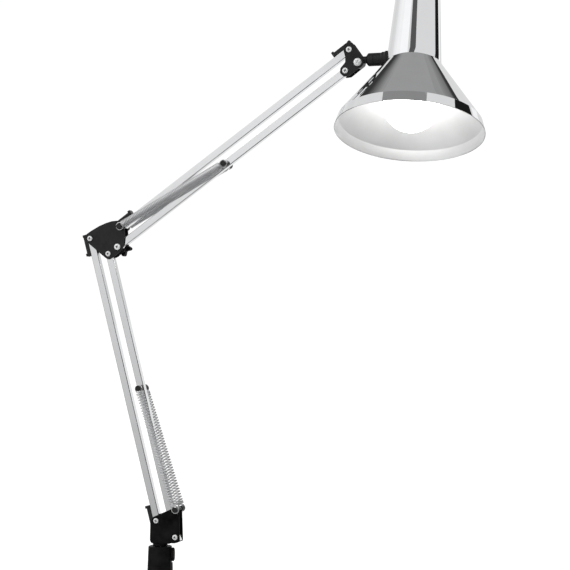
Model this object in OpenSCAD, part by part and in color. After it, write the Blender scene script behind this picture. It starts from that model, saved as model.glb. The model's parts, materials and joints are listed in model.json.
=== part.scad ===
// Spring-balanced swing-arm desk lamp on a table clamp.
// Frame: +Z up, arms in the XZ plane, origin at the centre of the upper jaw's face on the table.

/* [Clamp] */
// Height of the clamp's mouth, fully open
mouth_h = 70; // [50:1:80]
// Width of the clamp frame
jaw_w = 28; // [24:1:34]
// Thickness of the upper jaw above its pad
jaw_t = 12.5; // [10:0.5:13]
// Gap between the pads at rest
rest_gap = 36; // [20:1:40]
// Height of the socket boss's top above the table
boss_top = 49.5; // [48:0.5:51]

/* [Post] */
// Diameter of the swivel post
post_d = 12; // [10:0.5:13]

/* [Arms] */
// Side of the square tubes
tube_w = 8; // [7.5:0.1:8]
// Wall of the square tubes
tube_wall = 1; // [0.8:0.1:1.2]
// Length of the lower arm from pivot to pivot
arm_l = 326.4; // [300:0.1:350]
// Length of the upper arm from pivot to pivot
upper_l = 324.6; // [300:0.1:350]
// Lean of the lower arm from the horizontal
lower_ang = 104.5; // [96:0.5:112]
// Rise of the upper arm from the horizontal
upper_ang = 35.3; // [30:0.1:44]
// Distance of the lower spring's pin from the lower pivot
lower_pin = 170; // [150:1:180]
// Distance of the upper spring's pin from the elbow pivot
upper_pin = 156.4; // [140:0.2:180]

/* [Pivots] */
// Radius of the pivot shanks
shank_r = 2.0; // [1.8:0.05:2.1]
// Inner faces of the pivot plates from the arm's mid plane
plate_in = 4.4; // [4.3:0.05:4.5]
// Thickness of the pivot plates
plate_t = 1.3; // [1.2:0.05:1.35]

/* [Springs] */
// Outer radius of the spring coils
coil_r = 4.4; // [4:0.05:4.45]
// Radius of the spring wire
wire_r = 0.55; // [0.4:0.05:0.6]

/* [Shade] */
// Outer radius of the shade's rim
rim_r = 80; // [76:0.5:84]
// Height of the shade's cone from the rim to the waist
cone_h = 78.5; // [76:0.5:82]
// Outer radius of the shade at its waist
waist_r = 29.6; // [29.2:0.1:29.8]
// Height of the shade's tail above the waist
tail_h = 100; // [98:0.5:102]
// Sheet thickness of the shade
sheet = 0.8; // [0.7:0.1:1]
// Turn of the shade about its neck, towards the user
shade_turn = 16.8; // [0:0.2:30]
// Radius of the bulb's globe
bulb_r = 30; // [28:0.5:30]

/* [Hidden] */
$fn = 64;
fit = 0.05;
bore_r = shank_r + fit;
plate_out = plate_in + plate_t;
tw = tube_w / 2;
coil_y = plate_out + coil_r + 0.1;
pin_end = coil_y + 2.8;
black = [0.13, 0.13, 0.14];
steel = [0.8, 0.81, 0.83];
chrome = [0.86, 0.87, 0.89];

// pivots, as [x, z]
P2 = [19.6, 60.4];
P1 = P2 + [-22.5, 17.5];
Q = P2 + [1.9, 30.7];
B = P2 + arm_l * [cos(lower_ang), sin(lower_ang)];
A = B + [-22.5, 17.5];
C = B + [11.1, 7.65];
D = C + [4.1, 22.8];
H2 = C + upper_l * [cos(upper_ang), sin(upper_ang)];
H1 = H2 + [4.1, 22.8];
H3 = H2 + [13.7, 8.6];
R = P2 + lower_pin * [cos(lower_ang), sin(lower_ang)];
S = C + upper_pin * [cos(upper_ang), sin(upper_ang)];
neck_z = H3[1] + 3;
shade_x = H3[0] + 61.1;
web_z = P2[1] - 7.7;
screw_z = P2[1] - 20.3;
screw_turn = 15;
foot_top = -rest_gap;
jaw_low = -mouth_h;

// rounded corner between three points, as a short arc of points
function unit(v) = v / norm(v);
function corner(a, b, c, r, n) =
  let (u = unit(a - b), v = unit(c - b), h = acos(u * v) / 2,
       rr = min(r, 0.45 * min(norm(a - b), norm(c - b)) * tan(h)),
       m = b + unit(u + v) * rr / sin(h),
       s = b + u * rr / tan(h) - m, e = b + v * rr / tan(h) - m,
       k = s[0] * e[1] - s[1] * e[0] > 0 ? 1 : -1, w = 180 - 2 * h)
  [for (i = [0:n]) let (t = k * w * i / n) m + [s[0] * cos(t) - s[1] * sin(t), s[0] * sin(t) + s[1] * cos(t)]];
function rounded(p, r, n = 5) =
  let (k = len(p)) [for (i = [0:k - 1]) each corner(p[(i + k - 1) % k], p[i], p[(i + 1) % k], r, n)];

// helpers for shapes along Y
module ycyl(p, r, y0, y1) { translate([p[0], y1, p[1]]) rotate([90, 0, 0]) cylinder(h = y1 - y0, r = r); }
module yslab(p, y0, y1) { translate([p[0], y1, p[1]]) rotate([90, 0, 0]) linear_extrude(y1 - y0) children(); }
module along(p, ang) { translate([p[0], 0, p[1]]) rotate([0, -ang, 0]) children(); }

// screw with a cross-slotted pan head on the front plate and its shank running back to y_end
module screw(p, head_r, y_end) {
  difference() {
    union() {
      translate([p[0], -plate_out, p[1]]) rotate([90, 0, 0]) rotate_extrude()
        polygon([[0, 0], [head_r, 0], [head_r, 0.9], [head_r - 0.35, 1.5], [head_r * 0.5, 1.8], [0, 1.85]]);
      ycyl(p, shank_r, -plate_out - 0.4, y_end);
    }
    for (t = [20, 110]) translate([p[0], -plate_out - 1.9, p[1]]) rotate([0, t, 0]) cube([3.3, 2.4, 0.9], center = true);
  }
}
module hex_nut(p, af, y0, y1, hole) {
  difference() {
    translate([p[0], y1, p[1]]) rotate([90, 0, 0]) rotate([0, 0, 15]) cylinder(h = y1 - y0, r = af / 2 / cos(30), $fn = 6);
    ycyl(p, hole, y0 - 1, y1 + 1);
  }
}
// square tube between two pivots, drilled for its bushes and, if asked, for a spring pin
module arm_tube(p, ang, l, pin = 0) {
  along(p, ang) difference() {
    translate([-5, -tw, -tw]) cube([l + 10, tube_w, tube_w]);
    translate([-6, -tw + tube_wall, -tw + tube_wall]) cube([l + 12, tube_w - 2 * tube_wall, tube_w - 2 * tube_wall]);
    for (s = [0, l]) ycyl([s, 0], 3 + fit, -tw - 1, tw + 1);
    if (pin > 0) ycyl([pin, 0], bore_r, -tw - 1, tw + 1);
  }
}
// flanged half bushes at both ends of a tube
module arm_bushes(p, ang, l) {
  along(p, ang) for (s = [0, l], k = [0, 1]) mirror([0, k, 0]) difference() {
    union() { ycyl([s, 0], 2.95, 0.2, tw + 0.1); ycyl([s, 0], 3.7, tw, plate_in - 0.05); }
    ycyl([s, 0], bore_r, -1, 6);
  }
}
// clip strips along the outer side of a tube, at both ends
module cord_guides(p, ang, l) {
  along(p, ang) for (k = [0, 1]) translate([k * l, 0, 0]) mirror([k, 0, 0]) {
    difference() {
      union() {
        translate([-6, -4, tw]) cube([22.5, 8, 4.4]);
        translate([15.4, -4.3, tw]) cube([3, 8.6, 5.9]);
        translate([-6, -4, tw]) cube([3, 8, 5.0]);
      }
      translate([-1, -2.1, tw + 1.4]) cube([14.4, 4.2, 5]);
    }
  }
}
// sleeve with an end flange and a blind bore, pressed on each end of a spring pin
module pin_caps(p, y0) {
  for (k = [0, 1]) mirror([0, k, 0]) difference() {
    union() { ycyl(p, 2.75, y0, pin_end - 1.6); ycyl(p, 3.0, pin_end - 1.7, pin_end); }
    ycyl(p, bore_r, y0 - 1, pin_end - 0.8);
  }
}
// tension spring as its coil's outer sleeve with an eye at each end
module tension_spring(p, q, y) {
  d = q - p;
  l = norm(d);
  eye = coil_r - wire_r + 0.2;
  off = eye - wire_r - 3.05;
  translate([p[0], y, p[1]]) rotate([0, -atan2(d[1], d[0]), 0]) {
    for (s = [off, l - off]) translate([s, 0, 0]) rotate([90, 0, 0]) rotate_extrude() translate([eye, 0]) circle(wire_r, $fn = 16);
    translate([off + eye - 0.3, 0, 0]) rotate([0, 90, 0]) difference() {
      cylinder(h = l - 2 * (off + eye - 0.3), r = coil_r);
      translate([0, 0, 1.1]) cylinder(h = l - 2 * (off + eye - 0.3) - 2.2, r = coil_r - 2 * wire_r);
    }
  }
}

// outlines of the pivot plates, about their own pivots
base_outline = rounded([[-26.4, 21.4], [-5, 30.9], [4.3, 30.2], [5.5, -4.9], [-0.4, -6.8], [-5, -6.8], [-7, -7.7], [-28.2, -7.7], [-30, -4.6], [-29.6, 14.3]], 2.2);
elbow_outline = rounded([[-29.2, 20.4], [-26.1, 23.1], [-21.2, 26.3], [-11.3, 31.6], [-3.2, 34.8], [4, 36.8], [10.8, 37.3], [19.2, 30.2], [20, 18.3], [18.8, 8], [14.4, 2.4], [7.9, -2.9], [0.2, -6.6], [-3.2, -4.9], [-8.5, -0.7], [-22.75, 10.7], [-26.4, 14.3]], 2.0, 3);
head_outline = rounded([[4.55, 31.1], [7.8, 30], [17.6, 16.1], [20.4, 8.9], [19.6, 5.6], [4.2, -5.8], [-1.8, -6.4], [-6, -2.3], [-5.6, 3], [-0.2, 9.2], [-0.1, 15], [-2, 21.5], [-1, 27.9]], 2.6);

module elbow_plate_shape(y0, y1) {
  difference() {
    yslab(B, y0, y1) polygon(elbow_outline);
    for (p = [A, B, C, D]) ycyl(p, bore_r, -10, 10);
  }
}
module head_plate_shape(y0, y1) {
  difference() {
    yslab(H2, y0, y1) polygon(head_outline);
    for (p = [H1, H2]) ycyl(p, bore_r, -10, 10);
    ycyl(H3, 2.55, -10, 10);
  }
}
// lobed outline for hand knobs
function lobes(n, r0, r1, e, m = 72) = [for (i = [0:m - 1]) let (t = 360 * i / m, c = cos(n * t / 2), r = min(r1 - 0.3, r0 + (r1 - r0) * pow(c * c, e))) r * [cos(t), sin(t)]];

// table clamp
module clamp_body() {
  color(black) difference() {
    union() {
      yslab([0, 0], -jaw_w / 2, jaw_w / 2) difference() {
        polygon(rounded([[-44, 1.5 + jaw_t], [20, 1.5 + jaw_t], [20, 1.5], [-29, 1.5], [-29, jaw_low], [17, jaw_low], [17, jaw_low - 13], [-44, jaw_low - 13]], 5));
      }
      translate([0, 0, jaw_t - 1]) rotate_extrude()
        polygon([[0, 0], [14.3, 0], [14.3, 3.2], [14.5, 4], [13.3, boss_top - jaw_t], [12.7, boss_top - jaw_t + 1], [0, boss_top - jaw_t + 1]]);
      translate([0, 0, jaw_low - 16]) cylinder(h = 5, r = 10);
    }
    translate([0, 0, 16]) cylinder(h = 60, r = post_d / 2 + 1.55);
    translate([0, 0, screw_z]) rotate([0, 90, screw_turn]) cylinder(h = 30, r = 2.55);
    rotate([0, 0, screw_turn]) translate([12.6, -9, screw_z - 9]) cube([6, 18, boss_top - screw_z + 10]);
    translate([0, 0, jaw_low - 20]) cylinder(h = 30, r = 5.05);
    translate([-46, -jaw_w / 2 + 6.5, jaw_low + 6]) cube([6, jaw_w - 13, mouth_h - 12]);
  }
}
module jaw_pad() {
  color([0.08, 0.08, 0.08]) difference() {
    translate([-14, -jaw_w / 2 + 1, 0]) cube([32, jaw_w - 2, 1.5]);
    for (i = [0:5]) translate([-11 + i * 5, -jaw_w / 2 + 3, -1]) cube([1, jaw_w - 6, 1.4]);
  }
}
module post_bush() {
  color([0.75, 0.75, 0.72]) difference() {
    union() {
      translate([0, 0, 16]) cylinder(h = boss_top - 16 - 0.1, r = post_d / 2 + 1.5);
      translate([0, 0, 16]) cylinder(h = 1, r = post_d / 2 + 1.5);
    }
    translate([0, 0, 17.5]) cylinder(h = 60, r = post_d / 2 + fit);
    translate([0, 0, screw_z]) rotate([0, 90, screw_turn]) cylinder(h = 30, r = 2.6);
  }
}
module clamp_foot() {
  color(steel) difference() {
    translate([0, 0, foot_top - 1.5 - 4.5]) rotate_extrude() polygon([[0, 0], [9.5, 0], [10.5, 1.6], [15.2, 2.6], [15.2, 4.5], [0, 4.5]]);
    translate([0, 0, foot_top - 1.5 - 5.5]) cylinder(h = 4, r = 4.05);
  }
}
module foot_pad() { color([0.08, 0.08, 0.08]) translate([0, 0, foot_top - 1.5]) cylinder(h = 1.5, r = 15); }
module clamp_spindle() {
  color(steel) {
    translate([0, 0, foot_top - 1.5 - 1.6]) mirror([0, 0, 1]) cylinder(h = 7, r = 4);
    translate([0, 0, -mouth_h - 66]) cylinder(h = mouth_h + 66 - rest_gap - 6.4, r = 5);
  }
}
module clamp_knob() {
  color(black) difference() {
    translate([0, 0, -mouth_h - 68]) union() {
      linear_extrude(14) polygon(lobes(6, 15.5, 18, 1, 96));
      cylinder(h = 19, r = 9);
      translate([0, 0, -1.5]) cylinder(h = 2, r = 13);
    }
    translate([0, 0, -mouth_h - 66]) cylinder(h = 30, r = 5.05);
  }
}
module thumb_screw() { color(steel) rotate([0, 0, screw_turn]) translate([post_d / 2 + 0.1, 0, screw_z]) rotate([0, 90, 0]) cylinder(h = 9, r = 2.5); }
module thumb_knob() {
  color(black) rotate([0, 0, screw_turn]) difference() {
    translate([12.8, 0, screw_z]) rotate([0, 90, 0]) union() {
      linear_extrude(2.8) polygon(lobes(18, 7.2, 7.85, 1, 144));
      cylinder(h = 3.3, r = 6.2);
    }
    translate([10, 0, screw_z]) rotate([0, 90, 0]) cylinder(h = post_d / 2 - 0.85, r = 2.5 + fit);
  }
}

// swivelling base
module base_bracket() {
  color([0.07, 0.07, 0.07]) difference() {
    union() {
      yslab(P2, -plate_out, -plate_in) polygon(base_outline);
      yslab(P2, plate_in, plate_out) polygon(base_outline);
      translate([-7.2, -plate_out, web_z]) cube([15.2, 2 * plate_out, 1.6]);
    }
    for (p = [P1, P2]) ycyl(p, bore_r, -10, 10);
    for (k = [0, 1]) mirror([0, k, 0]) ycyl(Q, bore_r, 4, 7);
    translate([0, 0, web_z - 1]) cylinder(h = 4, r = 3.05);
  }
}
module base_post() {
  color([0.07, 0.07, 0.07]) union() {
    translate([0, 0, 18]) cylinder(h = web_z - 18.7, r = post_d / 2);
    translate([0, 0, boss_top + 0.15]) cylinder(h = web_z - boss_top - 0.15, r = 8.2);
    translate([0, 0, 50]) cylinder(h = web_z - 50 + 2, r = 3);
    translate([0, 0, web_z + 1.6]) rotate_extrude() polygon([[0, 0], [4.2, 0], [3.6, 1], [2.4, 1.6], [0, 1.8]]);
  }
}
module base_pivot_screws() { color(steel) for (p = [P1, P2]) screw(p, 3.0, 9.4); }
module base_nuts() { color(steel) for (p = [P1, P2]) hex_nut(p, 7, plate_out, 8.9, bore_r); }
module base_spring_pegs() { color(steel) for (k = [0, 1]) mirror([0, k, 0]) ycyl(Q, shank_r, plate_in, pin_end - 1.0); }
module base_peg_caps() { color(black) pin_caps(Q, plate_out); }

// lower arm
module lower_main_tube() { color(chrome) arm_tube(P2, lower_ang, arm_l, lower_pin); }
module lower_main_bushes() { color([0.85, 0.85, 0.82]) arm_bushes(P2, lower_ang, arm_l); }
module lower_anchor_pin() { color(steel) ycyl(R, shank_r, -pin_end + 1, pin_end - 1); }
module lower_anchor_caps() { color(black) pin_caps(R, tw); }
module lower_spring_front() { color(steel) tension_spring(Q, R, -coil_y); }
module lower_spring_back() { color(steel) tension_spring(Q, R, coil_y); }
module lower_link_tube() { color(chrome) arm_tube(P1, lower_ang, arm_l); }
module lower_link_bushes() { color([0.85, 0.85, 0.82]) arm_bushes(P1, lower_ang, arm_l); }
module lower_cord_guides() { color(black) cord_guides(P1, lower_ang, arm_l); }

// elbow
module elbow_plate_front() { color(black) elbow_plate_shape(-plate_out, -plate_in); }
module elbow_plate_back() { color(black) elbow_plate_shape(plate_in, plate_out); }
module elbow_pivot_screws() { color(steel) for (p = [A, B]) screw(p, 3.0, 9.4); }
module elbow_nuts() { color(steel) for (p = [A, B]) hex_nut(p, 7, plate_out, 7.9, bore_r); }
module elbow_bolt() { color(steel) screw(C, 3.6, 12.6); }
module elbow_spring_pin() { color(steel) ycyl(D, shank_r, -pin_end + 1, pin_end - 1); }
module elbow_pin_caps() { color(black) pin_caps(D, plate_out); }
module elbow_knob() {
  color([0.03, 0.03, 0.03]) difference() {
    union() {
      yslab(C, 8, 15) rotate(-10) polygon(lobes(5, 6.2, 10.4, 1.4, 90));
      ycyl(C, 5.2, plate_out + 0.05, 8.5);
    }
    ycyl(C, bore_r, 0, 13.2);
  }
}

// upper arm
module upper_main_tube() { color(chrome) arm_tube(C, upper_ang, upper_l, upper_pin); }
module upper_main_bushes() { color([0.85, 0.85, 0.82]) arm_bushes(C, upper_ang, upper_l); }
module upper_anchor_pin() { color(steel) ycyl(S, shank_r, -pin_end + 1, pin_end - 1); }
module upper_anchor_caps() { color(black) pin_caps(S, tw); }
module upper_spring_front() { color(steel) tension_spring(D, S, -coil_y); }
module upper_spring_back() { color(steel) tension_spring(D, S, coil_y); }
module upper_link_tube() { color(chrome) arm_tube(D, upper_ang, upper_l); }
module upper_link_bushes() { color([0.85, 0.85, 0.82]) arm_bushes(D, upper_ang, upper_l); }
module upper_cord_guides() { color(black) cord_guides(D, upper_ang, upper_l); }

// head bracket
module head_plate_front() { color(black) head_plate_shape(-plate_out, -plate_in); }
module head_plate_back() { color(black) head_plate_shape(plate_in, plate_out); }
module head_pivot_screws() { color(steel) for (p = [H1, H2]) screw(p, 3.2, 9.4); }
module head_nuts() { color(steel) for (p = [H1, H2]) hex_nut(p, 7, plate_out, 8.9, bore_r); }
module head_bolt() {
  color(steel) difference() {
    union() {
      translate([H3[0], -plate_out, H3[1]]) rotate([90, 0, 0]) rotate_extrude()
        polygon([[0, 0], [4.4, 0], [4.4, 1.2], [3.8, 2.1], [2.2, 2.8], [0, 3]]);
      ycyl(H3, 2.5, -plate_out - 0.5, 10.8);
    }
    for (t = [35, 125]) translate([H3[0], -plate_out - 2.6, H3[1]]) rotate([0, t, 0]) cube([4.2, 2.2, 1], center = true);
  }
}
module head_bolt_nut() { color(steel) hex_nut(H3, 8, plate_out, 9.9, 2.55); }

// knuckle and its spindle
module knuckle() {
  color([0.06, 0.06, 0.06]) difference() {
    union() {
      ycyl(H3, 6.4, -plate_in + 0.1, plate_in - 0.1);
      translate([H3[0], -3.6, H3[1] - 0.9]) cube([6, 7.2, 7.4]);
      translate([H3[0] + 4, 0, neck_z]) rotate([0, 90, 0]) cylinder(h = 5.3, r = 3.9);
    }
    ycyl(H3, 2.55, -10, 10);
    translate([H3[0] + 5.5, 0, neck_z]) rotate([0, 90, 0]) cylinder(h = 10, r = 2.55);
  }
}
module neck_collar() {
  color(black) translate([H3[0] + 9.3, 0, neck_z]) rotate([0, 90, 0])
    rotate_extrude() polygon([[2.55, 0], [5.2, 0], [7.1, 1.9], [7.1, 7.7], [2.55, 7.7]]);
}
module neck_spindle() { color(steel) translate([H3[0] + 5.6, 0, neck_z]) rotate([0, 90, 0]) cylinder(h = 34.5, r = 2.5); }
module neck_nut() {
  color(steel) translate([H3[0] + 34.5, 0, neck_z]) rotate([0, 90, 0]) difference() {
    union() { cylinder(h = 1, r = 5.2); translate([0, 0, 0.9]) cylinder(h = 4, r = 8 / 2 / cos(30), $fn = 6); }
    translate([0, 0, -1]) cylinder(h = 10, r = 2.55);
  }
}

// shade, in its own frame with the waist at the origin, a little below the neck's axis
waist_drop = 8.5;
module in_shade() { translate([shade_x, 0, neck_z]) rotate([-shade_turn, 0, 0]) translate([0, 0, -waist_drop]) children(); }
tail_k = 0.067;
cone_k = (rim_r - 3.1 - waist_r) / (cone_h - 11.6);
tail_r = waist_r - tail_h * tail_k;
shade_out = [[rim_r, -cone_h], [rim_r - 3.1, -cone_h + 11.6], [waist_r, 0], [tail_r + 0.3, tail_h - 4.5], [tail_r - 1.2, tail_h - 1.3], [tail_r - 4.5, tail_h]];
shade_in = [[tail_r - 4.7, tail_h - sheet], [tail_r - 2, tail_h - sheet - 1.1], [tail_r + 0.3 - sheet, tail_h - 5], [waist_r - sheet * 1.05, 0.6], [rim_r - 3.1 - sheet * 1.12, -cone_h + 11.3], [rim_r - sheet, -cone_h]];
module shade_shell() {
  color(chrome) difference() {
    in_shade() difference() {
      rotate_extrude($fn = 180) polygon(concat([[5.1, tail_h - sheet]], shade_in, shade_out, [[5.1, tail_h]]));
      for (i = [0:7]) rotate([0, 0, i * 45 + 22.5]) translate([14.5, 0, tail_h - 5]) cylinder(h = 10, r = 1.6);
      translate([0, 0, tail_h - 13]) rotate([-90, 0, 0]) cylinder(h = 40, r = 4.05);
    }
    translate([H3[0] + 20, 0, neck_z]) rotate([0, 90, 0]) cylinder(h = 20, r = 2.8);
  }
}
module neck_sleeve() {
  color(black) difference() {
    translate([H3[0] + 17.1, 0, neck_z]) rotate([0, 90, 0])
      rotate_extrude() polygon([[2.55, 0], [7.1, 0], [7.1, 8.3], [7.8, 9.1], [7.9, 12], [8.8, 13], [8.8, 16.8], [2.55, 16.8]]);
    in_shade() rotate_extrude($fn = 180) polygon([[0, -40], [waist_r + 0.02 + 40 * cone_k, -40], [waist_r + 0.02, 0], [waist_r + 0.02 - 40 * tail_k, 40], [0, 40]]);
  }
}
module lampholder() {
  color([0.9, 0.9, 0.88]) in_shade() difference() {
    rotate_extrude() polygon([[0, 22], [14, 22], [14, -2], [17, -2], [17, 54], [12, 62], [12, tail_h - sheet], [5, tail_h - sheet], [5, tail_h + 6], [0, tail_h + 6]]);
    translate([0, 0, 60]) cylinder(h = 60, r = 2.1);
  }
}
module holder_shell() {
  color([0.78, 0.62, 0.3]) in_shade() rotate_extrude() polygon([[13.45, 0], [13.95, 0], [13.95, 21.9], [3, 21.9], [3, 21.4], [13.45, 21.4]]);
}
module holder_nut() {
  color(steel) in_shade() translate([0, 0, tail_h]) difference() {
    cylinder(h = 3, r = 8 / cos(30), $fn = 6);
    translate([0, 0, -1]) cylinder(h = 6, r = 5 + fit);
  }
}
// globe of the bulb, as a thin glass envelope
module bulb_glass() {
  color([1, 0.98, 0.94]) in_shade() rotate_extrude($fn = 96)
    polygon(concat([[0, -cone_h + 2]],
      [for (i = [1:20]) let (t = -90 + i * 6.6) [bulb_r * cos(t), -cone_h + 2 + bulb_r + bulb_r * sin(t)]],
      [[16.2, -13], [14.2, -6], [13.2, -0.5], [12.2, 0.3], [11, 0.3], [12.1, -1], [13.1, -6], [15.1, -13]],
      [for (i = [20:-1:1]) let (t = -90 + i * 6.6) [(bulb_r - 1) * cos(t), -cone_h + 2 + bulb_r + (bulb_r - 1) * sin(t)]],
      [[0, -cone_h + 3]]));
}
module bulb_cap() {
  color([0.75, 0.76, 0.78]) in_shade() rotate_extrude()
    polygon([[0, 0.3], [12.2, 0.3], [13.1, 0.6], [13.3, 2], [13.3, 17], [9, 19.5], [4, 20.2], [4, 21.2], [0, 21.2]]);
}
module cord_grommet() {
  color(black) in_shade() translate([0, 0, tail_h - 13]) rotate([-90, 0, 0]) difference() {
    union() {
      translate([0, 0, 19]) cylinder(h = 11, r = 4);
      translate([0, 0, 24.1]) cylinder(h = 2.4, r = 6);
      translate([0, 0, 19.4]) cylinder(h = 1.8, r = 5.5);
    }
    translate([0, 0, 15]) cylinder(h = 20, r = 2.6);
  }
}
module switch_knob() {
  color(black) in_shade() {
    translate([0, 0, 62]) cylinder(h = tail_h - 62 + 7, r = 2);
    translate([0, 0, tail_h + 6.3]) union() {
      linear_extrude(9) polygon(lobes(16, 7.2, 8, 1, 128));
      translate([0, 0, 8.9]) rotate_extrude() polygon([[0, 0], [6.9, 0], [6.2, 1.2], [4, 1.9], [0, 2.1]]);
    }
  }
}

clamp_body();
jaw_pad();
post_bush();
clamp_foot();
foot_pad();
clamp_spindle();
clamp_knob();
thumb_screw();
thumb_knob();
base_bracket();
base_post();
base_pivot_screws();
base_nuts();
base_spring_pegs();
base_peg_caps();
lower_main_tube();
lower_main_bushes();
lower_anchor_pin();
lower_anchor_caps();
lower_spring_front();
lower_spring_back();
lower_link_tube();
lower_link_bushes();
lower_cord_guides();
elbow_plate_front();
elbow_plate_back();
elbow_pivot_screws();
elbow_nuts();
elbow_bolt();
elbow_spring_pin();
elbow_pin_caps();
elbow_knob();
upper_main_tube();
upper_main_bushes();
upper_anchor_pin();
upper_anchor_caps();
upper_spring_front();
upper_spring_back();
upper_link_tube();
upper_link_bushes();
upper_cord_guides();
head_plate_front();
head_plate_back();
head_pivot_screws();
head_nuts();
head_bolt();
head_bolt_nut();
knuckle();
neck_collar();
neck_spindle();
neck_nut();
neck_sleeve();
shade_shell();
lampholder();
holder_shell();
holder_nut();
bulb_glass();
bulb_cap();
cord_grommet();
switch_knob();
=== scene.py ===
import json
import math

import bmesh
import bpy
import numpy as np
from mathutils import Matrix, Vector

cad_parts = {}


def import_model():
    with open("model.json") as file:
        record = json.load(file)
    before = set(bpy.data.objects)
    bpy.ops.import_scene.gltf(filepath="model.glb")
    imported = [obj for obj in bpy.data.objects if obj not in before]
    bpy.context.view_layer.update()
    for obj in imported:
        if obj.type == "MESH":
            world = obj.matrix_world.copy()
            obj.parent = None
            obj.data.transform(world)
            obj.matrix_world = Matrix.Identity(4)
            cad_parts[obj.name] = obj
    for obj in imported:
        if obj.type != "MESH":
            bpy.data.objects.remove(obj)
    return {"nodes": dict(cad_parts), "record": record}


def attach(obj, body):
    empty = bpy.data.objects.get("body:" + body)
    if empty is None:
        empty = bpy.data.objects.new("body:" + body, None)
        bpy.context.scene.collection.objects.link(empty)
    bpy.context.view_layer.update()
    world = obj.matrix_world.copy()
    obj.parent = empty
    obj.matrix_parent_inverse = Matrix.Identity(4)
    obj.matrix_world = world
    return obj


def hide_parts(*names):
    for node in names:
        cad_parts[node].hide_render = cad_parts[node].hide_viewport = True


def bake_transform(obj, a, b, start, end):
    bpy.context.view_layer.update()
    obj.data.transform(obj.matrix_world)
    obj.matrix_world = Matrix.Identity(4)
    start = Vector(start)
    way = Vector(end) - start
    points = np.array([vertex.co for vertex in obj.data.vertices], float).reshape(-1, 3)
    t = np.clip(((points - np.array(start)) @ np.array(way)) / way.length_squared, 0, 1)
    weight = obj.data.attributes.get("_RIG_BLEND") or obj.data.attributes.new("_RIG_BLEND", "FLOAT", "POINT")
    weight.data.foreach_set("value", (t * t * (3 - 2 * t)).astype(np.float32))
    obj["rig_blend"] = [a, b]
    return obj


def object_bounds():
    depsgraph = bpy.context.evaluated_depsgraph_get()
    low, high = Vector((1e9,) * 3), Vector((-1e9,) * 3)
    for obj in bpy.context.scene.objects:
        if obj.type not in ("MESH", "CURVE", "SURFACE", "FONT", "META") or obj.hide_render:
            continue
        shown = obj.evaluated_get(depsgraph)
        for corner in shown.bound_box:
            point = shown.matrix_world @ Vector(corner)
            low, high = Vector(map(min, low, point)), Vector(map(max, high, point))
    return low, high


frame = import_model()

cad_box = [list(v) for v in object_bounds()]
MM = 0.001
rad = math.radians

# ---------------------------------------------------------------- camera
# Fitted to the pivots and the shade in the photograph's 570 x 570 frame.
AZ, EL, ROLL = 16.476, -1.531, 0.117
az, el = rad(AZ), rad(EL)
forward = Vector((-math.sin(az) * math.cos(el), math.cos(az) * math.cos(el), -math.sin(el)))
right = Vector((math.cos(az), math.sin(az), 0))
up = right.cross(forward)
r2 = right * math.cos(rad(ROLL)) + up * math.sin(rad(ROLL))
u2 = up * math.cos(rad(ROLL)) - right * math.sin(rad(ROLL))
camera = bpy.data.objects.new("camera", bpy.data.cameras.new("camera"))
camera.data.sensor_width = 36
camera.data.lens = 1523.1 / 570 * 36
camera.data.clip_start, camera.data.clip_end = 0.05, 60
camera.matrix_world = Matrix((
    (r2.x, u2.x, -forward.x, 0.61756), (r2.y, u2.y, -forward.y, -1.59900),
    (r2.z, u2.z, -forward.z, 0.29543), (0, 0, 0, 1)))
bpy.context.scene.collection.objects.link(camera)
bpy.context.scene.camera = camera

# ---------------------------------------------------------------- dimensions, in mm, as the CAD source has them
TUBE, WALL = 8.0, 1.0
LOWER_L, UPPER_L, LOWER_ANG, UPPER_ANG = 326.4, 324.6, 104.5, 35.3
COIL_R, WIRE_R, COIL_Y = 4.4, 0.55, 10.2


def P(x, z):
    return np.array([x, z], float)


def turned(angle, length):
    return P(math.cos(rad(angle)), math.sin(rad(angle))) * length


P2 = P(19.6, 60.4)
P1 = P2 + P(-22.5, 17.5)
Q = P2 + P(1.9, 30.7)
B = P2 + turned(LOWER_ANG, LOWER_L)
A = B + P(-22.5, 17.5)
C = B + P(11.1, 7.65)
D = C + P(4.1, 22.8)
H2 = C + turned(UPPER_ANG, UPPER_L)
H1 = H2 + P(4.1, 22.8)
H3 = H2 + P(13.7, 8.6)
R = P2 + turned(LOWER_ANG, 170)
S = C + turned(UPPER_ANG, 156.4)
NECK_Z = H3[1] + 3
SHADE_X = H3[0] + 61.1
SHADE_TURN = 16.8
RIM_R, CONE_H, WAIST_R, TAIL_H, SHEET = 80.0, 78.5, 29.6, 100.0, 0.8
TAIL_R = WAIST_R - TAIL_H * 0.067
BULB_R = 30.0
IN_SHADE = (
    Matrix.Translation(Vector((SHADE_X, 0, NECK_Z)) * MM)
    @ Matrix.Rotation(rad(-SHADE_TURN), 4, "X")
    @ Matrix.Translation(Vector((0, 0, -8.5)) * MM)
)


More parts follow.
